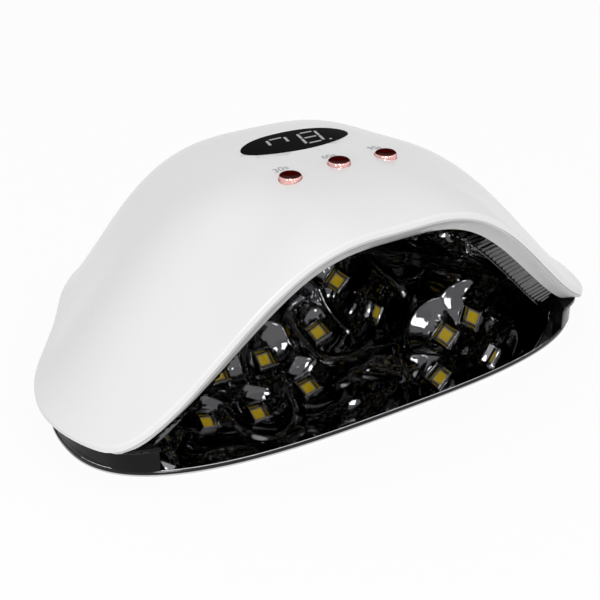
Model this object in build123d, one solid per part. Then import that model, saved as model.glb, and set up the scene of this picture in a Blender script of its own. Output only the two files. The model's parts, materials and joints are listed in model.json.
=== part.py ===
"""A desk-top UV lamp for curing nail gel and small resin parts: a bell-shaped shell over a mirror base."""

from build123d import *
import math
import os

# Overall form. The bell rises from a butterfly rim around (0, BELL_Y), and a swept front line cuts it off.
CROWN_TOP = 81.9
BELL_FOOT = 11.6
BELL_MARGIN = 1.05
RIM_BOTTOM = 12.2
BELL_Y = -27.7
RIM_MEAN = 112.1
RIM_FORE_AFT = -5.95
RIM_OVAL = -3.6
RIM_LOBES = 4.15
SHOULDER = 1.66
SHOULDER_REAR = 0.31
SHOULDER_OVAL = -0.148
FLARE = 0.775
FRONT_Y = -78.35
FRONT_SWEEP = 10.5
CORNER_POWER = 18

# Walls, and how far each lining lies inside the crown, measured square to it.
SHELL_WALL = 1.9
LIP_R = 0.9
PARTING_GAP = 0.35
BEZEL_INSET = 9.6
BEZEL_TAPER = 4.0
BEZEL_START = 0.8
BEZEL_DEPTH = 7.0
BEZEL_LAND = 2.0
TRIM_DEPTH = 7.2
TRIM_GAP = 0.3
ARCH_END = -9.0
FRAME_LEAD = 17.9
OPEN_FRONT = -60.0
TRIM_WALL = 1.6
RIBS = 96
RIB_DEPTH = 0.8
REFLECTOR_INSET = 15.0
REFLECTOR_CROWN_DROP = 5.0
REFLECTOR_WALL = 1.6

# Base: pads, steel plate, mirror, then the frame that the shell is screwed to.
FOOT_PROUD = 0.6
FOOT_R = 6.0
FOOT_SINK = 0.5
PLATE_TOP = 2.1
MIRROR_TOP = 2.6
PLATE_INSET = 4.2
SKIRT_INSET = 5.0
SKIRT_WALL = 1.8
LEDGE_INSET = 2.8
LEDGE_THICK = 1.5
FOOT_INSET = 12.7
FOOT_GAP = 0.15
FRAME_FLOOR = 5.2
FRAME_TOP = 12.1
FRAME_FRONT = 3.5
PLATE_HALF = 108.6
PLATE_DEPTH = 51.4
PLATE_POWER = 2.95

# Fixings between frame and shell, at angles round the bell, and the magnets between them.
BOSS_INSET = 9.7
BOSS_R = 2.7
BOSS_ANGLES = (8, 62, 118, 172)
PILOT_R = 1.25
SCREW_SHANK_R = 1.25
SCREW_HEAD_R = 2.5
SCREW_HEAD_H = 1.6
SCREW_SINK = 0.1
SCREW_LENGTH = 10.0
MAGNET_R = 2.5
MAGNET_H = 2.0
MAGNET_ANGLES = (-10, 35, 90, 145, 190)

# LEDs: plan positions on the right half and on the axis, mirrored across the lamp.
LED_PLACES = [(0, 25.7), (25.7, 24.9), (12.1, 40.2), (40.5, 39.7), (53.2, 43.8), (59.5, 21.6), (64.5, -20.6),
              (75.8, -9.9), (84.1, -16.5), (79.5, -36.7), (0, -4), (28, -8), (17, -39), (46, -42)]
LED_SIZE = 6.0
LED_THICK = 1.6
PHOSPHOR_SIZE = 5.2
PHOSPHOR_THICK = 0.3
POCKET_MOUTH = 9.2
POCKET_FLOOR = 6.4
POCKET_DEPTH = 2.4
COLLAR_SIZE = 9.6
CARRIER_SIZE = 9.4
CARRIER_THICK = 1.0

# Dished fields of the reflector: plan centre, sphere radius and depth of each, mirrored where x is not 0.
DISHES = [(0, 18, 38, 3.4), (0, -34, 44, 2.6), (47, 33, 30, 3.6), (75, -25, 32, 3.8), (38, -8, 38, 2.8)]

# Crown: an oval window over the display, and three buttons in a row in front of it.
WINDOW_Y = -10.0
WINDOW_HALF_X = 22.2
WINDOW_HALF_Y = 10.8
WINDOW_THICK = 1.4
WINDOW_LEDGE = 1.5
WINDOW_GAP = 0.12
BUTTON_X = 19.8
BUTTON_Y = -39.5
BUTTON_R = 4.0
BUTTON_PROUD = 2.0
BUTTON_SIDE = 0.4
BUTTON_GAP = 0.15
FLANGE_R = 5.2
FLANGE_THICK = 0.8
FLANGE_GAP = 0.1
PLUNGER_R = 1.5
BOARD_TOP = 72.6
BOARD_THICK = 1.2
BOARD_HALF_X = 27.0
BOARD_FRONT = -49.5
BOARD_REAR = 5.0
SWITCH_SIZE = 6.0
SWITCH_H = 2.4
PLUNGER_TOP = 75.8
PLUNGER_DEEP = 1.5
DISPLAY_X = 32.0
DISPLAY_Y = 17.0
DISPLAY_H = 5.4
POST_X = 24.3
POST_MARGIN = 2.7
BOARD_HEAD_R = 2.2
POST_R = 2.4

# Rear power inlet: a round barrel socket in a level recess.
JACK_Z = 25.0
JACK_FACE_Y = 70.0
JACK_LENGTH = 10.0
JACK_R = 4.5
JACK_BORE_R = 2.8
JACK_BORE_DEPTH = 8.6
JACK_PIN_R = 1.0
JACK_PAD_R = 8.0
JACK_RECESS_R = 6.5

# Infrared sensor that looks into the chamber from its right wall.
SENSOR_PLACE = (88.5, -24.5)
SENSOR_R = 2.5


def rim_radius(angle):
    """Plan distance from the bell's centre to the rim: soft lobes with a waist between them."""
    return (RIM_MEAN + RIM_FORE_AFT * math.sin(angle) + RIM_OVAL * math.cos(2 * angle)
            + RIM_LOBES * math.cos(6 * angle))


def front_radius(angle):
    """Plan distance from the bell's centre to the swept front line, or a great distance behind it."""
    ahead = -math.sin(angle)
    if ahead < 0.02:
        return 2000.0
    reach = BELL_Y - FRONT_Y
    bend = FRONT_SWEEP * (math.cos(angle) / 100) ** 2
    return (math.sqrt(ahead * ahead + 4 * bend * reach) - ahead) / (2 * bend) if bend > 1e-9 else reach / ahead


def outline_radius(angle, side=0.0, front=0.0):
    """The lamp's outline drawn in by side and front, with the corner between them rounded."""
    rim = rim_radius(angle) - side
    cut = front_radius(angle) - front
    return (rim ** -CORNER_POWER + cut ** -CORNER_POWER) ** (-1 / CORNER_POWER)


def plan_point(radius, angle):
    return Vector(radius * math.cos(angle), BELL_Y + radius * math.sin(angle))


def crown(x, y):
    """Height of the shell's outside at a place in plan: a cosine bell that flares into the rim."""
    angle = math.atan2(y - BELL_Y, x)
    out = min(math.hypot(x, y - BELL_Y) / (rim_radius(angle) * BELL_MARGIN), 1.0)
    shoulder = SHOULDER + SHOULDER_REAR * math.sin(angle) + SHOULDER_OVAL * math.cos(2 * angle)
    bell = 0.5 * (1 + math.cos(math.pi * out ** shoulder))
    return BELL_FOOT + (CROWN_TOP - BELL_FOOT) * bell ** FLARE


def crown_normal(x, y):
    """Unit normal of the crown, pointing out of the lamp."""
    step = 0.5
    slope_x = (crown(x + step, y) - crown(x - step, y)) / (2 * step)
    slope_y = (crown(x, y + step) - crown(x, y - step)) / (2 * step)
    return Vector(-slope_x, -slope_y, 1).normalized()


def inset_point(x, y, inset):
    """Place on the surface that lies inset below the crown, measured square to it."""
    return Vector(x, y, crown(x, y) - inset / crown_normal(x, y).Z)


def even_inset(inset):
    return lambda x, y: inset


def reflector_inset(extra=0.0):
    """The reflector hangs lower under the crown, where the circuit board needs room."""
    def inset(x, y):
        middle = math.exp(-(x / 48) ** 2 - ((y + 24) / 38) ** 2)
        return REFLECTOR_INSET + REFLECTOR_CROWN_DROP * middle + extra
    return inset


def bell_block(inset_at):
    """Solid below the crown, lowered square to it at each place by inset_at(x, y)."""
    grid = 12
    columns = [grid * i for i in range(-10, 11)]
    rows = [grid * j for j in range(-8, 9)]
    points = [[inset_point(x, y, inset_at(x, y)) for y in rows] for x in columns]
    return Solid.extrude(Face.make_surface_from_array_of_points(points, tol=0.03), Vector(0, 0, -200))


def closed_curve(radius_at, count=144):
    """Plan face inside a closed smooth curve given by its distance from the bell's centre at each angle."""
    angles = [2 * math.pi * i / count for i in range(count)]
    return make_face(Spline(*[plan_point(radius_at(a), a) for a in angles], periodic=True)).face()


def outline(side, front=0.0):
    """Plan face of the lamp, drawn in from the rim and from the front line."""
    return closed_curve(lambda angle: outline_radius(angle, side, front))


def prism(face, low, high):
    """Upright solid on a plan face between two heights."""
    return Solid.extrude(face.moved(Location((0, 0, low))), Vector(0, 0, high - low))


def disc(x, y, radius, low, high):
    """Upright cylinder between two heights."""
    return Pos(x, y, (low + high) / 2) * Cylinder(radius, high - low)


def ring_places(angles, inset):
    """Plan places at an inset from the rim, at angles in degrees round the bell."""
    places = []
    for degrees in angles:
        angle = math.radians(degrees)
        places.append(plan_point(rim_radius(angle) - inset, angle))
    return places


def mirrored_places(places):
    """Each place and, where it is off the axis, its mirror image."""
    return [(side * x, y) for x, y in places for side in ((1, -1) if x else (1,))]


# Base -------------------------------------------------------------------------------------------------------

def plate_outline(inset):
    """Superellipse in front, and a constant step inside the shell's rim behind."""
    def radius_at(angle):
        if math.sin(angle) >= 0:
            return rim_radius(angle) - PLATE_INSET - inset
        across = abs(math.cos(angle)) / (PLATE_HALF - inset)
        along = abs(math.sin(angle)) / (PLATE_DEPTH - inset)
        return (across ** PLATE_POWER + along ** PLATE_POWER) ** (-1 / PLATE_POWER)
    return closed_curve(radius_at, 72)


def foot_places():
    return mirrored_places([(70, -56), (62, 42)])


def base_plate():
    """Thin steel plate with a shallow seat underneath for each pad."""
    plate = prism(plate_outline(0), FOOT_PROUD, PLATE_TOP)
    for x, y in foot_places():
        plate -= disc(x, y, FOOT_R, 0, FOOT_PROUD + FOOT_SINK)
    return plate


def mirror_sheet():
    return prism(plate_outline(0.4), PLATE_TOP, MIRROR_TOP)


def plate_feet():
    """Rubber pads, slightly domed at the edge."""
    pads = []
    for x, y in foot_places():
        pad = disc(x, y, FOOT_R, 0, FOOT_PROUD + FOOT_SINK)
        pads.append(chamfer(pad.edges().sort_by(Axis.Z)[0], 0.3))
    return Compound(children=pads)


# Frame ------------------------------------------------------------------------------------------------------

def frame_block(side, front, low, high):
    return prism(outline(side, front), low, high)


def lower_frame():
    """Horseshoe open to the front: a skirt and a floor, solid at its two front ends, under a ledge."""
    frame = frame_block(SKIRT_INSET, FRAME_FRONT, MIRROR_TOP, FRAME_TOP)
    frame += frame_block(LEDGE_INSET, LEDGE_INSET, FRAME_TOP - LEDGE_THICK, FRAME_TOP)
    frame -= frame_block(SKIRT_INSET + SKIRT_WALL, FRAME_LEAD + SKIRT_WALL, FRAME_FLOOR, 50)
    frame -= frame_block(FOOT_INSET, OPEN_FRONT, 0, 60)
    for place in ring_places(BOSS_ANGLES, BOSS_INSET):
        frame -= disc(place.X, place.Y, SCREW_HEAD_R, MIRROR_TOP, MIRROR_TOP + SCREW_SINK + SCREW_HEAD_H)
        frame -= disc(place.X, place.Y, SCREW_SHANK_R + 0.2, MIRROR_TOP, FRAME_FLOOR)
    for place in ring_places(MAGNET_ANGLES, BOSS_INSET):
        frame -= disc(place.X, place.Y, MAGNET_R, MIRROR_TOP, MIRROR_TOP + MAGNET_H)
    return frame


def magnets():
    places = ring_places(MAGNET_ANGLES, BOSS_INSET)
    return Compound(children=[disc(p.X, p.Y, MAGNET_R, MIRROR_TOP, MIRROR_TOP + MAGNET_H) for p in places])


def pan_screw(x, y, head_low):
    """Pan-head screw that stands on its head at head_low, shank upwards."""
    head = disc(x, y, SCREW_HEAD_R - 0.1, head_low, head_low + SCREW_HEAD_H)
    shank = disc(x, y, SCREW_SHANK_R, head_low + SCREW_HEAD_H, head_low + SCREW_HEAD_H + SCREW_LENGTH)
    return head + shank


def frame_screws():
    places = ring_places(BOSS_ANGLES, BOSS_INSET)
    return Compound(children=[pan_screw(p.X, p.Y, MIRROR_TOP + SCREW_SINK) for p in places])


# Shell ------------------------------------------------------------------------------------------------------

def window_prism(grow):
    oval = Pos(0, WINDOW_Y) * Ellipse(WINDOW_HALF_X + grow, WINDOW_HALF_Y + grow)
    return prism(oval.face(), 60, 100)


def button_places():
    return [(-BUTTON_X, BUTTON_Y), (0, BUTTON_Y), (BUTTON_X, BUTTON_Y)]


def post_places():
    return [(x, y) for x in (-POST_X, POST_X) for y in (BOARD_FRONT + POST_MARGIN, BOARD_REAR - POST_MARGIN)]


def rear_cylinder(radius, near, far):
    """Cylinder along Y on the power inlet's axis."""
    return Pos(0, (near + far) / 2, JACK_Z) * Rot(90, 0, 0) * Cylinder(radius, far - near)


def top_shell():
    """Moulded bell with a rounded lip, screw bosses, board posts, and the window, button and inlet openings."""
    shell = (bell_block(even_inset(0)) & prism(outline(0), RIM_BOTTOM, 120)) - bell_block(even_inset(SHELL_WALL))
    longest = shell.edges().sort_by(SortBy.LENGTH)[-1]
    shell = fillet(longest, LIP_R)
    fixed = [disc(x, y, POST_R, BOARD_TOP, 90) for x, y in post_places()]
    fixed += [disc(p.X, p.Y, BOSS_R, FRAME_FLOOR, 50) for p in ring_places(BOSS_ANGLES, BOSS_INSET)]
    fixed.append(rear_cylinder(JACK_PAD_R, JACK_FACE_Y - JACK_LENGTH + 3, 90))
    inside = bell_block(even_inset(SHELL_WALL / 2))
    shell = shell.fuse(*[(post & inside).solid() for post in fixed])
    cuts = [disc(p.X, p.Y, PILOT_R, 0, MIRROR_TOP + SCREW_HEAD_H + SCREW_LENGTH + 1)
            for p in ring_places(BOSS_ANGLES, BOSS_INSET)]
    cuts += [disc(x, y, PILOT_R, 0, BOARD_TOP + 2.4) for x, y in post_places()]
    cuts += [disc(x, y, BUTTON_R + BUTTON_GAP, 60, 100) for x, y in button_places()]
    cuts += [rear_cylinder(JACK_RECESS_R, JACK_FACE_Y, 95), rear_cylinder(JACK_R, 40, 95)]
    cuts += [window_prism(WINDOW_GAP) - bell_block(even_inset(WINDOW_THICK)), window_prism(-WINDOW_LEDGE)]
    for cut in cuts:
        shell -= cut
    return shell


def display_window():
    """Oval lens that follows the crown and lies flush in its seat."""
    return (bell_block(even_inset(0.05)) & window_prism(0)) - bell_block(even_inset(WINDOW_THICK))


# Front arch -------------------------------------------------------------------------------------------------

def arch_line(back, inset_at):
    """Line along the arch from lobe to lobe, drawn in by back and lowered square to the crown."""
    steps = 48
    points = []
    for i in range(steps + 1):
        angle = math.radians(ARCH_END - (180 + 2 * ARCH_END) * i / steps)
        place = plan_point(outline_radius(angle, back, back), angle)
        points.append(inset_point(place.X, place.Y, inset_at(place.X, place.Y)))
    return Spline(*points).edge()


def arch_strip(corners):
    """Ruled moulding along the arch through (back, inset) section corners, cut off level at the rim."""
    lines = [arch_line(back, inset_at) for back, inset_at in corners]
    pairs = list(zip(lines, lines[1:] + lines[:1]))
    faces = [Face.make_surface_from_curves(first, second) for first, second in pairs]
    for end in (0, 1):
        faces.append(make_face(Polyline(*[line @ end for line in lines], close=True)).face())
    strip = Solid(Shell(faces))
    return strip & Pos(0, 0, RIM_BOTTOM + 60) * Box(300, 300, 120)


def bezel_inset(rise=0.0):
    """Inner edge of the bezel, which is deepest at the crown and narrows towards the feet."""
    return lambda x, y: BEZEL_INSET - rise - BEZEL_TAPER * (x / RIM_MEAN) ** 2


def arch_bezel():
    """Chamfered strip inside the shell's front lip, with a shadow gap round it."""
    outer = even_inset(SHELL_WALL + PARTING_GAP)
    inner = bezel_inset()
    back = BEZEL_START + BEZEL_DEPTH
    return arch_strip([(BEZEL_START, outer), (back + BEZEL_LAND, outer), (back + BEZEL_LAND, inner),
                       (back, inner), (BEZEL_START, even_inset(SHELL_WALL + PARTING_GAP + 0.7))])


def groove_bottom(point):
    """Point sunk by the rib depth towards the crown, without moving it forwards."""
    up = crown_normal(point.X, point.Y)
    return point + RIB_DEPTH * Vector(up.X, 0, up.Z)


def ribbed_trim():
    """Band behind the bezel that leads to the reflector, with ribs across its inner face."""
    near = BEZEL_START + BEZEL_DEPTH + BEZEL_LAND + TRIM_GAP
    far = near + TRIM_DEPTH
    corners = [(near, bezel_inset(TRIM_WALL)), (far, reflector_inset(-TRIM_WALL)),
               (far, reflector_inset()), (near, bezel_inset())]
    lines = []
    for number, corner in enumerate(corners):
        smooth = arch_line(*corner)
        points = [smooth @ (i / (2 * RIBS)) for i in range(2 * RIBS + 1)]
        if number >= 2:
            points[1::2] = [groove_bottom(p) for p in points[1::2]]
        lines.append(points)
    faces = [make_face(Polyline(*[line[end] for line in lines], close=True)).face() for end in (0, -1)]
    for first, second in zip(lines, lines[1:] + lines[:1]):
        for i in range(2 * RIBS):
            faces.append(Face.make_surface_from_curves(Edge.make_line(first[i], first[i + 1]),
                                                       Edge.make_line(second[i], second[i + 1])))
    band = Solid(Shell(faces)) & Pos(0, 0, RIM_BOTTOM + 60) * Box(300, 300, 120)
    return band - prism(outline(0, FRAME_LEAD - 0.1), 0, 100)


# Reflector and LEDs -----------------------------------------------------------------------------------------

def dishes():
    """Centre and radius of the sphere that each dished field is part of."""
    spheres = []
    for x, y, radius, depth in DISHES:
        for side in ((1, -1) if x else (1,)):
            low = inset_point(side * x, y, reflector_inset()(side * x, y))
            spheres.append((low + crown_normal(side * x, y) * (depth - radius), radius))
    return spheres


def ceiling_seat(x, y):
    """Plane on the reflector's inner face, in a dish where there is one."""
    place = inset_point(x, y, reflector_inset()(x, y))
    normal = crown_normal(x, y)
    for centre, radius in dishes():
        reach = radius ** 2 - (x - centre.X) ** 2 - (y - centre.Y) ** 2
        if reach > 0 and centre.Z + math.sqrt(reach) > place.Z:
            place = Vector(x, y, centre.Z + math.sqrt(reach))
            normal = (place - centre).normalized()
    return Plane(origin=place, x_dir=Vector(normal.Z, 0, -normal.X), z_dir=normal)


def led_seats():
    return [ceiling_seat(side * x, y) for x, y in LED_PLACES for side in ((1, -1) if x else (1,))]


def chamber(extra_wall):
    """The reflector's inside as a solid, grown by extra_wall: bell, upright foot and dished fields."""
    front = FRAME_LEAD if extra_wall else OPEN_FRONT
    body = bell_block(reflector_inset(-extra_wall))
    for centre, radius in dishes():
        body += Pos(*centre) * Sphere(radius + extra_wall)
    inset = FOOT_INSET + FOOT_GAP + REFLECTOR_WALL - extra_wall
    return body & prism(outline(inset, front), MIRROR_TOP + 0.2, 100)


def reflector():
    """Thin liner with dished fields, and a square funnel with a collar behind it for every LED."""
    liner = chamber(REFLECTOR_WALL)
    seats = led_seats()
    collar_top = POCKET_DEPTH + LED_THICK
    liner = liner.fuse(*[plane * square_bar(COLLAR_SIZE, -0.5, collar_top) for plane in seats])
    liner -= chamber(0)
    lean = math.degrees(math.atan((POCKET_MOUTH - POCKET_FLOOR) / 2 / POCKET_DEPTH))
    mouth = POCKET_MOUTH + 2 * math.tan(math.radians(lean))
    for plane in seats:
        funnel = Pos(0, 0, -1) * extrude(Rectangle(mouth, mouth), POCKET_DEPTH + 1, taper=lean)
        liner -= plane * (funnel + square_bar(POCKET_FLOOR, POCKET_DEPTH, collar_top + 1))
    sensor = ceiling_seat(*SENSOR_PLACE)
    return liner - sensor * (Pos(0, 0, 2) * Cylinder(SENSOR_R, 12))


def square_bar(size, low, high):
    """Square bar between two depths along Z."""
    return Pos(0, 0, (low + high) / 2) * Box(size, size, high - low)


def led_group(size, low, high):
    return Compound(children=[plane * square_bar(size, low, high) for plane in led_seats()])


def hand_sensor():
    sensor = ceiling_seat(*SENSOR_PLACE)
    return sensor * (Pos(0, 0, 2) * Cylinder(SENSOR_R, 3) + Pos(0, 0, 3.5) * Cylinder(SENSOR_R + 0.5, 1.4))


# Electronics under the crown --------------------------------------------------------------------------------

def control_board():
    board = Pos(0, (BOARD_FRONT + BOARD_REAR) / 2, BOARD_TOP - BOARD_THICK / 2) * Box(
        2 * BOARD_HALF_X, BOARD_REAR - BOARD_FRONT, BOARD_THICK)
    board = fillet(board.edges().filter_by(Axis.Z), 3)
    for x, y in post_places():
        board -= disc(x, y, PILOT_R + 0.15, 60, 90)
    return board


def display_module():
    body = Pos(0, WINDOW_Y, BOARD_TOP + DISPLAY_H / 2) * Box(DISPLAY_X, DISPLAY_Y, DISPLAY_H)
    return chamfer(body.faces().sort_by(Axis.Z)[-1].edges(), 0.8)


def tact_switches():
    """Square switch bodies with a well for each plunger."""
    bodies = []
    for x, y in button_places():
        body = Pos(x, y, BOARD_TOP + SWITCH_H / 2) * Box(SWITCH_SIZE, SWITCH_SIZE, SWITCH_H)
        bodies.append(body - disc(x, y, PLUNGER_R + 0.1, BOARD_TOP + 0.9, 80))
    return Compound(children=bodies)


def board_parts():
    """Driver chips, a wound inductor and a capacitor, between the display and the switches."""
    chip = Pos(-14, -27, BOARD_TOP + 0.6) * Box(7, 7, 1.2)
    driver = Pos(-4, -27, BOARD_TOP + 0.8) * Box(5, 6, 1.6)
    coil = Pos(7, -27, BOARD_TOP + 1.7) * (Cylinder(3.8, 3.4) - Cylinder(2.6, 1.6) + Cylinder(2.6, 1.6))
    can = Pos(17, -27, BOARD_TOP + 2) * Cylinder(3, 4)
    return Compound(children=[chip, driver, coil, can])


def board_screws():
    """Screws up through the board into the shell's posts."""
    screws = []
    for x, y in post_places():
        head = disc(x, y, BOARD_HEAD_R, BOARD_TOP - BOARD_THICK - 1.4, BOARD_TOP - BOARD_THICK)
        screws.append(head + disc(x, y, PILOT_R, BOARD_TOP - BOARD_THICK, BOARD_TOP + 2.2))
    return Compound(children=screws)


def flange_top(x, y):
    """Highest level at which a button's flange still clears the curved underside of the crown."""
    around = [math.radians(45 * i) for i in range(8)]
    heights = [inset_point(x + FLANGE_R * math.cos(a), y + FLANGE_R * math.sin(a), SHELL_WALL).Z for a in around]
    return min(heights) - FLANGE_GAP


def button(x, y):
    """Domed cap turned in one piece with its shank, flange and stem."""
    level = crown(x, y)
    under = flange_top(x, y)
    dome = Spline((BUTTON_R, level + BUTTON_SIDE), (0, level + BUTTON_PROUD), tangents=((0, 1), (-1, 0)))
    low = under - FLANGE_THICK
    side = Polyline((0, level + BUTTON_PROUD), (0, PLUNGER_TOP), (PLUNGER_R, PLUNGER_TOP), (PLUNGER_R, low),
                    (FLANGE_R, low), (FLANGE_R, under), (BUTTON_R, under), (BUTTON_R, level + BUTTON_SIDE))
    profile = Plane.XZ * make_face(Curve() + dome + side)
    return Pos(x, y, 0) * revolve(profile, Axis.Z)


def plunger(x, y):
    return disc(x, y, PLUNGER_R, PLUNGER_TOP - PLUNGER_DEEP, PLUNGER_TOP)


# Rear power inlet -------------------------------------------------------------------------------------------

def dc_jack():
    body = rear_cylinder(JACK_R, JACK_FACE_Y - JACK_LENGTH, JACK_FACE_Y)
    return body - rear_cylinder(JACK_BORE_R, JACK_FACE_Y - JACK_BORE_DEPTH, JACK_FACE_Y + 1)


def jack_pin():
    return rear_cylinder(JACK_PIN_R, JACK_FACE_Y - JACK_BORE_DEPTH, JACK_FACE_Y - 1.5)


LED_BACK = POCKET_DEPTH + LED_THICK
BUTTONS = {"30": button_places()[0], "60": button_places()[1], "90": button_places()[2]}
PIECES = {
    "base_plate": base_plate,
    "mirror_sheet": mirror_sheet,
    "plate_feet": plate_feet,
    "lower_frame": lower_frame,
    "magnets": magnets,
    "frame_screws": frame_screws,
    "top_shell": top_shell,
    "display_window": display_window,
    "arch_bezel": arch_bezel,
    "ribbed_trim": ribbed_trim,
    "reflector": reflector,
    "led_packages": lambda: led_group(LED_SIZE, POCKET_DEPTH, LED_BACK),
    "led_phosphors": lambda: led_group(PHOSPHOR_SIZE, POCKET_DEPTH - PHOSPHOR_THICK, POCKET_DEPTH),
    "led_carriers": lambda: led_group(CARRIER_SIZE, LED_BACK, LED_BACK + CARRIER_THICK),
    "hand_sensor": hand_sensor,
    "control_board": control_board,
    "display_module": display_module,
    "tact_switches": tact_switches,
    "board_parts": board_parts,
    "board_screws": board_screws,
    "dc_jack": dc_jack,
    "jack_pin": jack_pin,
}


def main():
    os.makedirs("parts", exist_ok=True)
    for name, build in PIECES.items():
        export_step(build(), f"parts/{name}.step")
    for name, (x, y) in BUTTONS.items():
        export_step(button(x, y), f"parts/button_{name}.step")
        export_step(plunger(x, y), f"parts/plunger_{name}.step")


if __name__ == "__main__":
    main()
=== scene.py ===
import json
import math

import bmesh
import bpy
from mathutils import Matrix, Quaternion, Vector
from mathutils.bvhtree import BVHTree
from mathutils.geometry import interpolate_bezier

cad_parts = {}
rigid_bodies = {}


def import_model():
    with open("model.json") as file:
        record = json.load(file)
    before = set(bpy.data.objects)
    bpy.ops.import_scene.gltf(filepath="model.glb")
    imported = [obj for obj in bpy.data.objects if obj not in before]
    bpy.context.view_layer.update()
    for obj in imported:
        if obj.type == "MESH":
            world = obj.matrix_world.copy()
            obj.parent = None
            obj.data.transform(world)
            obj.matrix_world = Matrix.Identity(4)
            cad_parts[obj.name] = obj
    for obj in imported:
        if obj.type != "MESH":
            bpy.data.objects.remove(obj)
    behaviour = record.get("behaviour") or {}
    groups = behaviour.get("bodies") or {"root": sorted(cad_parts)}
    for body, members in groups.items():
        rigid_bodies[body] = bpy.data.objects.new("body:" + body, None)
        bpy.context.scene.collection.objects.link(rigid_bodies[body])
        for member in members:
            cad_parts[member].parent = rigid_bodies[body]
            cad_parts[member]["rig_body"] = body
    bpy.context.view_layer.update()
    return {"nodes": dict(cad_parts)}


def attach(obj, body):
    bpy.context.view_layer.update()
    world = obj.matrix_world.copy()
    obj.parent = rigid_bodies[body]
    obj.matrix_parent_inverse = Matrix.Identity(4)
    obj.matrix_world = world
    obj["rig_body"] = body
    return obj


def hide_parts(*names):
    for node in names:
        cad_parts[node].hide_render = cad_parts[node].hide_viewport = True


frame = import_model()


# Camera: the lamp is seen from the front left and a little above, through a long lens that
# keeps its lines calm. Its horizon leans by a degree, as when it is held by hand.
AIM = Vector((0.00695, -0.0001, 0.0089))
DISTANCE = 0.450
AZIMUTH, ELEVATION, LEAN = math.radians(-31.045), math.radians(27.656), math.radians(-0.941)
LENS_MM, SENSOR_MM = 66.13, 36.0
to_camera = Vector((math.sin(AZIMUTH) * math.cos(ELEVATION), -math.cos(AZIMUTH) * math.cos(ELEVATION),
                    math.sin(ELEVATION)))
camera = bpy.data.objects.new("camera", bpy.data.cameras.new("camera"))
camera.data.lens = LENS_MM
camera.data.sensor_width = SENSOR_MM
camera.location = AIM + DISTANCE * to_camera
camera.rotation_mode = "QUATERNION"
camera.rotation_quaternion = to_camera.to_track_quat("Z", "Y") @ Quaternion((0, 0, 1), LEAN)
bpy.context.scene.collection.objects.link(camera)
bpy.context.scene.camera = camera


# Base plate: one steel sheet that the hand rests over, near black above a height low on its edge. Magnets
# hold it to the lamp, and only the lower half of its edge shows light steel, as a light line round the
# foot.
class Value:
    """What comes out of a shader node. Sums on it become Math nodes."""

    def __init__(self, nodes, socket):
        self.nodes, self.socket = nodes, socket

    def __add__(self, other):
        return self.nodes.math("ADD", self, other)

    def __sub__(self, other):
        return self.nodes.math("SUBTRACT", self, other)

    def __rsub__(self, other):
        return self.nodes.math("SUBTRACT", other, self)

    def __mul__(self, other):
        return self.nodes.math("MULTIPLY", self, other)

    __radd__, __rmul__ = __add__, __mul__

    def share(self, low, high):
        """How far the value has come from low to high, held between 0 and 1."""
        return self.nodes.node("ShaderNodeMapRange", {"clamp": True},
                               {"Value": self, "From Min": low, "From Max": high})

    def axis(self, letter):
        """One coordinate of a point or direction."""
        return self.nodes.node("ShaderNodeSeparateXYZ", {}, {"Vector": self}, letter)


class Nodes:
    """A tree of shader nodes, and how nodes are added to it."""

    def __init__(self, tree):
        self.tree = tree

    def give(self, node, socket, value):
        """Sets a socket of a node, or links it to what comes out of another node."""
        if isinstance(value, Value):
            self.tree.links.new(value.socket, node.inputs[socket])
        elif node.inputs[socket].type == "RGBA":
            node.inputs[socket].default_value = (*value, 1.0)
        else:
            node.inputs[socket].default_value = value

    def node(self, kind, settings, sockets, output=0):
        """Adds a node of any kind, and returns what comes out of it."""
        made = self.tree.nodes.new(kind)
        for setting, value in settings.items():
            setattr(made, setting, value)
        for socket, value in sockets.items():
            self.give(made, socket, value)
        return Value(self, made.outputs[output])

    def math(self, operation, first, second=0.0, third=0.0):
        """One sum on numbers that change over the surface."""
        return self.node("ShaderNodeMath", {"operation": operation}, {0: first, 1: second, 2: third})

    def blend(self, share, first, second):
        """A colour that goes from first to second with share."""
        return self.node("ShaderNodeMix", {"data_type": "RGBA"}, {0: share, 6: first, 7: second}, 2)

    def place(self, scale=(1, 1, 1)):
        """The point on the piece, in metres, stretched by scale."""
        point = self.node("ShaderNodeTexCoord", {}, {}, "Object")
        return self.node("ShaderNodeMapping", {}, {"Vector": point, "Scale": scale})

    def noise(self, size, detail=2.0, scale=(1, 1, 1)):
        """Soft random patches about size metres across, from 0 to 1."""
        return self.node("ShaderNodeTexNoise", {},
                         {"Vector": self.place(scale), "Scale": 1 / size, "Detail": detail})


class Finish(Nodes):
    """A material of the lamp: fixed values on the shader, and nodes for what changes over it."""

    def __init__(self, name, fixed):
        self.material = bpy.data.materials.new(name)
        self.material.use_nodes = True
        super().__init__(self.material.node_tree)
        self.shader = self.tree.nodes["Principled BSDF"]
        for socket, value in fixed.items():
            self.give(self.shader, socket, value)

    def vary(self, socket, value):
        """Feeds a socket of the shader with something that changes over the piece."""
        self.give(self.shader, socket, value)

    def relief(self, height, depth, edge=0.0):
        """A relief of depth metres from a height of 0 to 1, on edges that look rounded by edge metres."""
        sockets = {"Height": height, "Strength": 1.0, "Distance": depth}
        if edge:
            sockets["Normal"] = self.node("ShaderNodeBevel", {"samples": 6}, {"Radius": edge})
        self.vary("Normal", self.node("ShaderNodeBump", {}, sockets))

    def coat(self, *pieces):
        """Gives this finish to new pieces, or by name to CAD nodes that show as they are."""
        for piece in pieces:
            mesh = (frame["nodes"][piece] if isinstance(piece, str) else piece).data
            mesh.materials.clear()
            mesh.materials.append(self.material)


# Near black above this height and light steel below it; the colour follows height alone.
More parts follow.
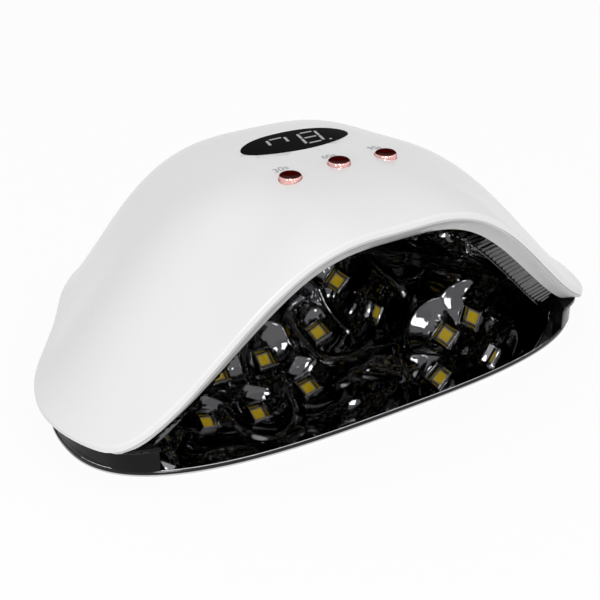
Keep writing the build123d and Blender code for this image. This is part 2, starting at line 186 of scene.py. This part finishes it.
DARK_START, DARK_FULL = 0.0011, 0.0013
steel = Finish("plate_steel", {"Metallic": 1.0})
dark_above = steel.place().axis("Z").share(DARK_START, DARK_FULL)
steel.vary("Base Color", steel.blend(dark_above, (0.62, 0.62, 0.63), (0.03, 0.03, 0.031)))
steel.vary("Roughness", 0.18 + 0.16 * steel.noise(0.0015, 3.0, (1, 12, 12)))
steel.coat("base_plate")


# Mirror sheet: a polished film of metal glued on the plate, which throws the light of the lamp
# up to the underside of the hand. Fine wipe marks are all that breaks it.
mirror = Finish("dark_mirror", {"Base Color": (0.80, 0.80, 0.81), "Metallic": 1.0})
mirror.vary("Roughness", 0.012 + 0.02 * mirror.noise(0.012, 4.0, (1, 3, 1)))
mirror.coat("mirror_sheet")


# Plate feet: four discs of black rubber, punched from sheet and glued under the plate. They
# keep it from sliding on the table.
rubber = Finish("foot_rubber", {"Base Color": (0.03, 0.03, 0.03)})
rubber.vary("Roughness", 0.62 + 0.2 * rubber.noise(0.0008))
rubber.relief(rubber.noise(0.0003), 0.00004)
rubber.coat("plate_feet")


# Lower frame: a skirt of gloss black moulded plastic that closes the shell from below. The
# plate clings to the magnets in its underside.
WELD = 2e-6


def add_piece(name, mesh, body, finish):
    """Makes a bmesh a piece of the lamp that rides on a body and has a finish."""
    piece = bpy.data.objects.new(name, bpy.data.meshes.new(name))
    mesh.to_mesh(piece.data)
    mesh.free()
    finish.coat(piece)
    bpy.context.scene.collection.objects.link(piece)
    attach(piece, body)
    return piece


def smooth_copy(node, finish, crease=28):
    """A welded, smooth-shaded copy of a CAD node that stands for it, sharp where faces turn by crease."""
    cad = frame["nodes"][node]
    mesh = bmesh.new()
    mesh.from_mesh(cad.data)
    bmesh.ops.remove_doubles(mesh, verts=mesh.verts, dist=WELD)
    bmesh.ops.dissolve_degenerate(mesh, edges=mesh.edges, dist=WELD / 2)
    copy = add_piece(node + "_skin", mesh, cad["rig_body"], finish)
    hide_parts(node)
    copy.data.shade_smooth()
    copy.data.set_sharp_from_angle(angle=math.radians(crease))
    evener = copy.modifiers.new("even", "WEIGHTED_NORMAL")
    evener.keep_sharp = True
    return copy


black_gloss = Finish("frame_black", {"Base Color": (0.008, 0.008, 0.009), "Specular IOR Level": 0.10})
black_gloss.vary("Roughness", 0.06 + 0.08 * black_gloss.noise(0.006, 3.0))
black_gloss.relief(black_gloss.noise(0.012), 0.0003, edge=0.0004)
smooth_copy("lower_frame", black_gloss)


# Magnets and frame screws: nickel-plated discs glued into the frame hold the plate, and
# zinc-plated screws go up through the frame into bosses of the shell.
nickel = Finish("magnet_nickel", {"Base Color": (0.72, 0.71, 0.69), "Metallic": 1.0})
nickel.vary("Roughness", 0.15 + 0.2 * nickel.noise(0.001))
nickel.coat("magnets")
zinc = Finish("screw_steel", {"Base Color": (0.55, 0.55, 0.56), "Metallic": 1.0})
zinc.vary("Roughness", 0.28 + 0.2 * zinc.noise(0.0006))
zinc.coat("frame_screws", "board_screws")


# Reflector: a thin moulding with black vacuum plating, held under the shell. Each LED sits at
# the bottom of a shallow dish of its own, and the dishes meet in rounded edges.
DISH_REACH, DISH_DEPTH, DISH_BLEND = 0.017, 0.0046, 0.0020
SWELL_SHARE, LINE_SHARE, LINE_WIDTH = 0.03, 0.04, 0.05


def separate_solids(node):
    """The welded points of each solid of a CAD node."""
    mesh = bmesh.new()
    mesh.from_mesh(frame["nodes"][node].data)
    bmesh.ops.remove_doubles(mesh, verts=mesh.verts, dist=WELD)
    met, solids = set(), []
    for first in mesh.verts:
        waiting, points = [first], []
        while waiting:
            vert = waiting.pop()
            if vert not in met:
                met.add(vert)
                points.append(vert.co.copy())
                waiting.extend(edge.other_vert(vert) for edge in vert.link_edges)
        if points:
            solids.append(points)
    mesh.free()
    return solids


led_places = [sum(points, Vector()) / len(points) for points in separate_solids("led_phosphors")]
black_chrome = Finish("black_chrome", {"Base Color": (0.12, 0.12, 0.123), "Metallic": 1.0})
here = black_chrome.place()
nearest = DISH_REACH
for led_place in sorted(led_places, key=lambda point: point.x):
    away = black_chrome.node("ShaderNodeVectorMath", {"operation": "DISTANCE"},
                             {0: here, 1: led_place}, "Value")
    nearest = black_chrome.math("SMOOTH_MIN", away, nearest, DISH_BLEND)
dish = nearest * nearest * (1 / DISH_REACH ** 2)
swell = black_chrome.noise(0.030, 0.0)
flow = black_chrome.noise(0.040, 1.0, (1, 1.3, 0.8))
line = 1 - black_chrome.math("ABSOLUTE", flow - 0.5).share(0.0, LINE_WIDTH)
black_chrome.relief(dish + SWELL_SHARE * swell + LINE_SHARE * line * line, DISH_DEPTH, edge=0.0005)
black_chrome.vary("Roughness", 0.03 + 0.06 * black_chrome.noise(0.008, 3.0))
reflector = smooth_copy("reflector", black_chrome, crease=24)


# Crests: raised ribs of the same plated moulding, which part the dishes and throw long thin highlights;
# their plating is painted lighter than the reflector's as painted highlight. Each runs along a curve under
# the reflector, and both halves have the same ones.
CREST_STEPS, CREST_SIDES = 36, 10
CREST_ROOT, CREST_BLUNT, CREST_SHARP = 0.0002, 0.6, 1.3
CHAMBER_FLOOR = 0.004
CRESTS = {   # four points of the curve in plan, then half width and height
    "swoop": ((0.034, 0.017), (0.043, 0.016), (0.053, 0.006), (0.060, -0.012), 0.0036, 0.0032),
    "rear_arc": ((0.030, 0.050), (0.032, 0.034), (0.040, 0.022), (0.054, 0.013), 0.0022, 0.0022),
    "blade": ((0.040, 0.056), (0.046, 0.050), (0.050, 0.040), (0.051, 0.029), 0.0014, 0.0036),
    "outer_blade": ((0.065, 0.042), (0.067, 0.032), (0.069, 0.022), (0.070, 0.012), 0.0014, 0.0034),
    "side_rib": ((0.073, 0.026), (0.080, 0.016), (0.085, 0.006), (0.088, -0.004), 0.0020, 0.0020),
    "centre_arc": ((-0.001, 0.0095), (0.010, 0.0095), (0.016, 0.016), (0.0155, 0.029), 0.0022, 0.0022),
    "front_sweep": ((0.008, -0.022), (0.028, -0.026), (0.046, -0.020), (0.058, -0.034), 0.0034, 0.0028),
}


def surface_of(piece):
    """The surface of a piece, for rays to meet."""
    mesh = bmesh.new()
    mesh.from_mesh(piece.data)
    tree = BVHTree.FromBMesh(mesh)
    mesh.free()
    return tree


def crest_under(ceiling, curve, half_width, height):
    """A rib under a ceiling, above a curve that is drawn in plan. It stops where the ceiling does."""
    route = interpolate_bezier(*[Vector((x, y, 0)) for x, y in curve], CREST_STEPS + 1)
    rib = bmesh.new()
    bmesh.ops.create_grid(rib, x_segments=CREST_STEPS, y_segments=CREST_SIDES, size=1.0)
    missed = []
    for vert in rib.verts:
        along, across = (vert.co.x + 1) / 2, vert.co.y
        step = round(along * CREST_STEPS)
        ahead = route[min(step + 1, CREST_STEPS)] - route[max(step - 1, 0)]
        aside = Vector((-ahead.y, ahead.x, 0)).normalized() * across * half_width
        start = route[step] + aside + Vector((0, 0, CHAMBER_FLOOR))
        spot, facing = ceiling.ray_cast(start, Vector((0, 0, 1)))[:2]
        if spot:
            rise = height * math.sin(math.pi * along) ** CREST_BLUNT
            rise *= math.cos(math.pi * across / 2) ** CREST_SHARP
            vert.co = spot + facing * (rise - CREST_ROOT)
        else:
            missed.append(vert)
    bmesh.ops.delete(rib, geom=missed, context="VERTS")
    bmesh.ops.recalc_face_normals(rib, faces=rib.faces)
    rib.faces.ensure_lookup_table()
    if rib.faces[len(rib.faces) // 2].normal.z > 0:
        bmesh.ops.reverse_faces(rib, faces=rib.faces)
    return rib


# Painted highlight: the same black plating with a lighter base colour, so that the ribs shine brighter
# than they would.
crest_painted_highlight = Finish("crest_painted_highlight", {"Base Color": (0.30, 0.30, 0.305), "Metallic": 1.0})
crest_painted_highlight.vary("Roughness", 0.05 + 0.08 * crest_painted_highlight.noise(0.004))
ceiling = surface_of(reflector)
for name, (*curve, half_width, height) in CRESTS.items():
    for hand, side in (("right", 1), ("left", -1)):
        rib = crest_under(ceiling, [(x * side, y) for x, y in curve], half_width, height)
        piece = add_piece(f"crest_{name}_{hand}", rib, "housing", crest_painted_highlight)
        piece.data.shade_smooth()


# LEDs: white ceramic packages on small aluminium boards, each at the bottom of a pocket of the reflector.
# Yellow gel covers the chip inside the rim, with a painted glow though the LEDs are off, and a plated
# collar, painted lighter as painted highlight, lines the pocket.
POCKET_DEPTH = 0.0024
RIM_HALF, RIM_WIDTH, RIM_PROUD = 0.0030, 0.00085, 0.000352
COLLAR = ((0.0050, -0.0004), (0.0047, 0.0005), (0.0043, 0.0006), (0.0034, -0.0022))   # half width, height
COLLAR_EDGE = 0.00018


def led_stance(points):
    """What carries a shape from the origin, looking up, onto the face of an LED, looking out."""
    corner, through, side = sorted(points, key=lambda point: (point - points[0]).length)[:3]
    down = through - corner if through.z < corner.z else corner - through
    out, across = down.normalized(), (side - corner).normalized()
    turned = Matrix((across, out.cross(across), out)).transposed()
    face = sum(points, Vector()) / len(points) + down / 2
    return Matrix.Translation(face) @ turned.to_4x4()


def on_each_led(shape):
    """A bmesh that has the shape once on every LED."""
    pattern = bpy.data.meshes.new("pattern")
    shape.to_mesh(pattern)
    shape.free()
    together = bmesh.new()
    for points in separate_solids("led_packages"):
        before = len(together.verts)
        together.from_mesh(pattern)
        bmesh.ops.transform(together, matrix=led_stance(points), verts=together.verts[:][before:])
    bpy.data.meshes.remove(pattern)
    return together


tile = Finish("board_aluminium", {"Base Color": (0.75, 0.76, 0.77)})
tile.vary("Roughness", 0.4 + 0.2 * tile.noise(0.001))
tile.coat("led_carriers")
ceramic = Finish("led_white", {"Base Color": (0.45, 0.44, 0.42)})
ceramic.vary("Roughness", 0.35 + 0.2 * ceramic.noise(0.0006))
ceramic.coat("led_packages")
# Painted glow: the gel gives off a weak yellow light of its own although the LEDs are off, standing in for
# light that falls on it.
gel_painted_glow = Finish("led_yellow", {"Roughness": 0.3, "Coat Weight": 0.3, "Emission Color": (0.75, 0.50, 0.01),
                            "Emission Strength": 0.24})
gel_painted_glow.vary("Base Color", gel_painted_glow.blend(gel_painted_glow.noise(0.0012), (0.60, 0.40, 0.01), (0.85, 0.64, 0.05)))
gel_painted_glow.coat("led_phosphors")
# Painted highlight: the collars have a plating lighter than the reflector's, so that the pocket walls
# shine brighter than they would.
collar_painted_highlight = Finish("collar_painted_highlight", {"Base Color": (0.30, 0.30, 0.305), "Metallic": 1.0})
collar_painted_highlight.vary("Roughness", 0.06 + 0.08 * collar_painted_highlight.noise(0.002))

collar = bmesh.new()
(foot_half, foot_height), *upper_edges = COLLAR
ring = bmesh.ops.create_circle(collar, segments=4, radius=foot_half * math.sqrt(2))["verts"]
bmesh.ops.rotate(collar, verts=ring, matrix=Matrix.Rotation(math.pi / 4, 3, "Z"))
bmesh.ops.translate(collar, verts=ring, vec=(0, 0, RIM_PROUD + POCKET_DEPTH + foot_height))
edge_loop, half, height = collar.edges[:], foot_half, foot_height
for next_half, next_height in upper_edges:
    grown = bmesh.ops.extrude_edge_only(collar, edges=edge_loop)["geom"]
    ring = [item for item in grown if isinstance(item, bmesh.types.BMVert)]
    edge_loop = [item for item in grown if isinstance(item, bmesh.types.BMEdge) and
                 all(vert in ring for vert in item.verts)]
    bmesh.ops.scale(collar, verts=ring, vec=(next_half / half, next_half / half, 1))
    bmesh.ops.translate(collar, verts=ring, vec=(0, 0, next_height - height))
    half, height = next_half, next_height
bmesh.ops.recalc_face_normals(collar, faces=collar.faces)
bmesh.ops.bevel(collar, geom=collar.edges[:], offset=COLLAR_EDGE, affect="EDGES", segments=2,
                profile=0.5, material=-1)
led_collars = add_piece("led_collars", on_each_led(collar), "housing", collar_painted_highlight)
led_collars.data.shade_smooth()
led_collars.data.set_sharp_from_angle(angle=math.radians(50))

rim = bmesh.new()
bmesh.ops.create_grid(rim, x_segments=1, y_segments=1, size=RIM_HALF)
bmesh.ops.translate(rim, verts=rim.verts, vec=(0, 0, RIM_PROUD))
around = bmesh.ops.inset_individual(rim, faces=rim.faces[:], thickness=RIM_WIDTH)["faces"]
bmesh.ops.delete(rim, geom=[face for face in rim.faces if face not in around], context="FACES")
add_piece("led_rims", on_each_led(rim), "housing", ceramic)


# Hand sensor: an infrared receiver behind a lens of smoked plastic, pressed into the right wall
# of the chamber. It lights the lamp when a hand comes in.
lens = Finish("sensor_black", {"Base Color": (0.01, 0.01, 0.012)})
lens.vary("Roughness", 0.05 + 0.06 * lens.noise(0.001))
lens.coat("hand_sensor")


# Control board: a green fibreglass board, screwed to bosses under the crown. It carries the
# display block, three switches with their plungers, and driver chips moulded in black resin.
mask = Finish("board_green", {"Roughness": 0.35})
mask.vary("Base Color", mask.blend(mask.noise(0.002), (0.015, 0.13, 0.05), (0.03, 0.2, 0.08)))
mask.coat("control_board")
chip = Finish("chip_black", {"Base Color": (0.04, 0.04, 0.04)})
chip.vary("Roughness", 0.5 + 0.2 * chip.noise(0.0005))
chip.coat("board_parts", "display_module", "tact_switches", "plunger_30", "plunger_60", "plunger_90")


# Top shell: the white bell, one gloss moulding from the crown down to the butterfly rim. It
# carries everything else, and screws from below hold the frame to it.
white_gloss = Finish("shell_white", {"Specular IOR Level": 0.4})
white_gloss.vary("Base Color", white_gloss.blend(white_gloss.noise(0.03), (0.82, 0.82, 0.82),
                                                 (0.84, 0.84, 0.84)))
white_gloss.vary("Roughness", 0.18 + 0.08 * white_gloss.noise(0.004, 3.0))
top_shell = smooth_copy("top_shell", white_gloss)


# Arch bezel and ribbed trim: the satin white lining of the hand opening clips in behind the lip
# of the shell, and a ribbed band plated in black chrome clips in behind it. The nearer the
# crown, the further forward both reach, except where they touch the shell.
satin = Finish("bezel_white", {"Base Color": (0.56, 0.56, 0.56)})
satin.vary("Roughness", 0.3 + 0.1 * satin.noise(0.003, 3.0))
arch_bezel = smooth_copy("arch_bezel", satin)
ribbed_trim = smooth_copy("ribbed_trim", black_chrome)

STRIP = 0.002
FOOT_HEIGHT, CROWN_HEIGHT = 0.012, 0.066
REACH, REACH_START, REACH_FULL, REACH_EASE, REACH_END = 0.0043, 0.0008, 0.0078, 0.0101, 0.0173
EDGE_REACH, EDGE_FULL, EDGE_END = 0.0007, 0.0008, 0.0028
SHELL_TOUCH, SHELL_CLEAR, SHELL_SLANT = 0.0006, 0.0046, 0.8


def ramp(value, start, end):
    """How far a number has come from start to end, held between 0 and 1."""
    return min(max((value - start) / (end - start), 0), 1)


front_line = {}
for vertex in top_shell.data.vertices:
    strip = round(abs(vertex.co.x) / STRIP)
    front_line[strip] = min(vertex.co.y, front_line.get(strip, 0.0))
shell_surface = surface_of(top_shell)
for piece in (arch_bezel, ribbed_trim):
    for vertex in piece.data.vertices:
        x, y, z = vertex.co
        behind = y - front_line[round(abs(x) / STRIP)]
        shell_spot = shell_surface.ray_cast(vertex.co, Vector((x, 0, z * SHELL_SLANT)).normalized())[0]
        gap = (shell_spot - vertex.co).length if shell_spot else 0.0
        share = ramp(behind, REACH_START, REACH_FULL) * ramp(behind, REACH_END, REACH_EASE)
        share *= ramp(gap, SHELL_TOUCH, SHELL_CLEAR) * ramp(z, FOOT_HEIGHT, CROWN_HEIGHT)
        vertex.co.y -= share * REACH + ramp(behind, EDGE_END, EDGE_FULL) * EDGE_REACH


# Display window: an oval of smoked black plastic, let into the crown and glued. Behind it, a
# timer of two figures made of seven bars each shows pale and unlit.
window_gloss = Finish("window_black", {"Base Color": (0.006, 0.006, 0.0065), "IOR": 1.02})
window_gloss.vary("Roughness", 0.04 + 0.05 * window_gloss.noise(0.01, 3.0))
display_window = smooth_copy("display_window", window_gloss)
PRINT_LIFT = 0.00004
ABOVE_ALL = 0.2


def lay_down(flat, below):
    """Drops the points of a flat bmesh straight down onto a piece, to lie on it as a print."""
    surface = surface_of(below)
    for vert in flat.verts:
        spot = surface.ray_cast(Vector((vert.co.x, vert.co.y, ABOVE_ALL)), Vector((0, 0, -1)))[0]
        vert.co.z = spot.z + PRINT_LIFT


BAR_PITCH, BAR_LENGTH, BAR_WIDTH = 0.0056, 0.00504, 0.0011
FIGURE_WIDTH, FIGURE_LEAN, FIGURE_Y = 0.00756, 0.24, -0.0104
BAR_PLACES = {   # across and along the figure, and 1 where the bar stands upright
    "top": (0, 1, 0),
    "upper_left": (-0.5, 0.5, 1),
    "upper_right": (0.5, 0.5, 1),
    "middle": (0, 0, 0),
    "lower_left": (-0.5, -0.5, 1),
    "lower_right": (0.5, -0.5, 1),
    "bottom": (0, -1, 0),
}
DOT_RADIUS, DOT_PLACE = 0.0006, (0.0116, -0.0162, 0)
FIGURES = {"tens": (-0.0068, ("top", "upper_left", "upper_right")), "ones": (0.0064, tuple(BAR_PLACES))}
pale_bar = Finish("display_bar", {"Roughness": 0.4})
pale_bar.vary("Base Color", pale_bar.blend(pale_bar.noise(0.0008), (0.30, 0.30, 0.31), (0.42, 0.42, 0.43)))
for figure, (centre, shown_bars) in FIGURES.items():
    bars = bmesh.new()
    for bar in shown_bars:
        across, along, upright = BAR_PLACES[bar]
        strip = bmesh.ops.create_grid(bars, x_segments=6, y_segments=1, size=0.5)["verts"]
        bmesh.ops.scale(bars, verts=strip, vec=(BAR_LENGTH, BAR_WIDTH, 1))
        bmesh.ops.rotate(bars, verts=strip, matrix=Matrix.Rotation(upright * math.pi / 2, 3, "Z"))
        bmesh.ops.translate(bars, verts=strip, vec=(across * FIGURE_WIDTH, along * BAR_PITCH, 0))
    for vert in bars.verts:
        vert.co.x += centre + FIGURE_LEAN * vert.co.y
        vert.co.y += FIGURE_Y
    lay_down(bars, display_window)
    add_piece("figure_" + figure, bars, "housing", pale_bar)
dot = bmesh.new()
bmesh.ops.create_circle(dot, cap_ends=True, segments=16, radius=DOT_RADIUS)
bmesh.ops.translate(dot, verts=dot.verts, vec=DOT_PLACE)
lay_down(dot, display_window)
add_piece("figure_point", dot, "housing", pale_bar)


# Buttons: three pressed domes of rose-plated metal, for 30, 60 and 90 seconds, that sit loose in holes of
# the shell on the plungers of their switches, with a painted reflection: dark maroon on the tops and light
# pink on the sloping rims. Each has its time printed behind it.
# Slopes of the button surface where the painted reflection turns from light pink to dark maroon.
REFLECTION_DARK_START, REFLECTION_DARK_FULL = 0.42, 0.62
LETTER_SIZE, LETTER_WEIGHT = 0.0042, 0.00004
LABEL_RIGHT, LABEL_BEHIND = 0.0008, 0.0066
rose = Finish("rose_metal", {"Metallic": 1.0, "Specular Tint": (0.50, 0.42, 0.42)})
rose.vary("Roughness", 0.08 + 0.08 * rose.noise(0.001))
# Painted reflection: the base colour goes from light pink where the surface slopes to dark maroon where it
# faces up, as a dark room above and a pale floor below would be mirrored.
painted_reflection = rose.node("ShaderNodeNewGeometry", {}, {}, "Normal").axis("Z").share(REFLECTION_DARK_START, REFLECTION_DARK_FULL)
rose.vary("Base Color", rose.blend(painted_reflection, (0.86, 0.50, 0.47), (0.035, 0.012, 0.011)))
print_grey = Finish("print_grey", {"Roughness": 0.5})
print_grey.vary("Base Color", print_grey.blend(print_grey.noise(0.0005), (0.33, 0.33, 0.33),
                                               (0.39, 0.39, 0.39)))
for seconds in (30, 60, 90):
    button = smooth_copy(f"button_{seconds}", rose)
    middle = sum((vertex.co for vertex in button.data.vertices), Vector()) / len(button.data.vertices)
    words = bpy.data.curves.new(f"time_{seconds}", "FONT")
    words.body = f"{seconds}s"
    words.size = LETTER_SIZE
    words.offset = LETTER_WEIGHT
    words.align_x = "CENTER"
    flat = bpy.data.objects.new(f"time_{seconds}_text", words)
    letters = bpy.data.meshes.new_from_object(flat)
    label = bmesh.new()
    label.from_mesh(letters)
    bpy.data.objects.remove(flat)
    bpy.data.meshes.remove(letters)
    bmesh.ops.translate(label, verts=label.verts, vec=(middle.x + LABEL_RIGHT, middle.y + LABEL_BEHIND, 0))
    lay_down(label, top_shell)
    add_piece(f"time_{seconds}", label, "housing", print_grey)


# Power inlet: a round barrel socket of black plastic, pressed into the rear of the shell, with
# a nickel-plated centre pin.
socket_black = Finish("jack_black", {"Base Color": (0.02, 0.02, 0.02)})
socket_black.vary("Roughness", 0.38 + 0.16 * socket_black.noise(0.0008))
socket_black.coat("dc_jack")
nickel.coat("jack_pin")


# Studio: a pale floor in an even white room, with a large soft lamp at the front left, one
# overhead, and small ones round the front that the chrome throws back as glints.
WHITE = (1.0, 1.0, 1.0)
FLOOR_GLOW, ROOM_LIGHT, ROOM_WALL = 0.92, 0.56, 1.0
FLOOR_RADIUS = 3.0


def seen_by(nodes):
    """1 where something is looked at or mirrored, and 0 where it only lights other things."""
    looked_at = nodes.node("ShaderNodeLightPath", {}, {}, "Is Camera Ray")
    mirrored = nodes.node("ShaderNodeLightPath", {}, {}, "Is Glossy Ray")
    looked_through = nodes.node("ShaderNodeLightPath", {}, {}, "Is Transmission Ray")
    return nodes.math("MAXIMUM", nodes.math("MAXIMUM", looked_at, mirrored), looked_through)


floor_white = Finish("floor_white", {"Roughness": 0.9, "Specular IOR Level": 0.0})
seen = seen_by(floor_white)
floor_white.vary("Base Color", floor_white.blend(seen, (0.62, 0.62, 0.62), WHITE))
glow = floor_white.node("ShaderNodeEmission", {}, {"Color": WHITE, "Strength": 1.0})
matt = Value(floor_white, floor_white.shader.outputs["BSDF"])
mixed = floor_white.node("ShaderNodeMixShader", {}, {0: seen * FLOOR_GLOW, 1: matt, 2: glow})
floor_white.give(floor_white.tree.nodes["Material Output"], "Surface", mixed)
floor_mesh = bmesh.new()
bmesh.ops.create_circle(floor_mesh, cap_ends=True, segments=96, radius=FLOOR_RADIUS)
floor = bpy.data.objects.new("floor", bpy.data.meshes.new("floor"))
floor_mesh.to_mesh(floor.data)
floor_mesh.free()
floor_white.coat(floor)
bpy.context.scene.collection.objects.link(floor)

world = bpy.data.worlds.new("room")
world.use_nodes = True
room = Nodes(world.node_tree)
room_light = room.node("ShaderNodeBackground", {}, {"Color": WHITE, "Strength": ROOM_LIGHT})
room_wall = room.node("ShaderNodeBackground", {}, {"Color": WHITE, "Strength": ROOM_WALL})
choice = room.node("ShaderNodeMixShader", {}, {0: seen_by(room), 1: room_light, 2: room_wall})
room.give(room.tree.nodes["World Output"], "Surface", choice)
bpy.context.scene.world = world

LAMPS = {   # place, width in metres and power in watts
    "key": ((-0.60, -0.95, 0.62), 0.30, 5.0),
    "top": ((-0.10, 0.35, 1.20), 0.80, 0.8),
    "side_1": ((-0.85, -0.45, 0.30), 0.12, 0.7),
    "side_2": ((-0.30, -0.98, 0.20), 0.10, 0.5),
    "side_3": ((0.15, -1.00, 0.36), 0.12, 0.6),
    "side_4": ((0.55, -0.82, 0.22), 0.10, 0.25),
    "side_5": ((0.88, -0.42, 0.36), 0.12, 0.2),
}
for name, (place, width, power) in LAMPS.items():
    lamp = bpy.data.objects.new(name, bpy.data.lights.new(name, "AREA"))
    lamp.data.size = width
    lamp.data.energy = power
    lamp.location = place
    lamp.rotation_euler = (Vector(place) - AIM).to_track_quat("Z", "Y").to_euler()
    bpy.context.scene.collection.objects.link(lamp)

bpy.context.scene.view_settings.view_transform = "Standard"
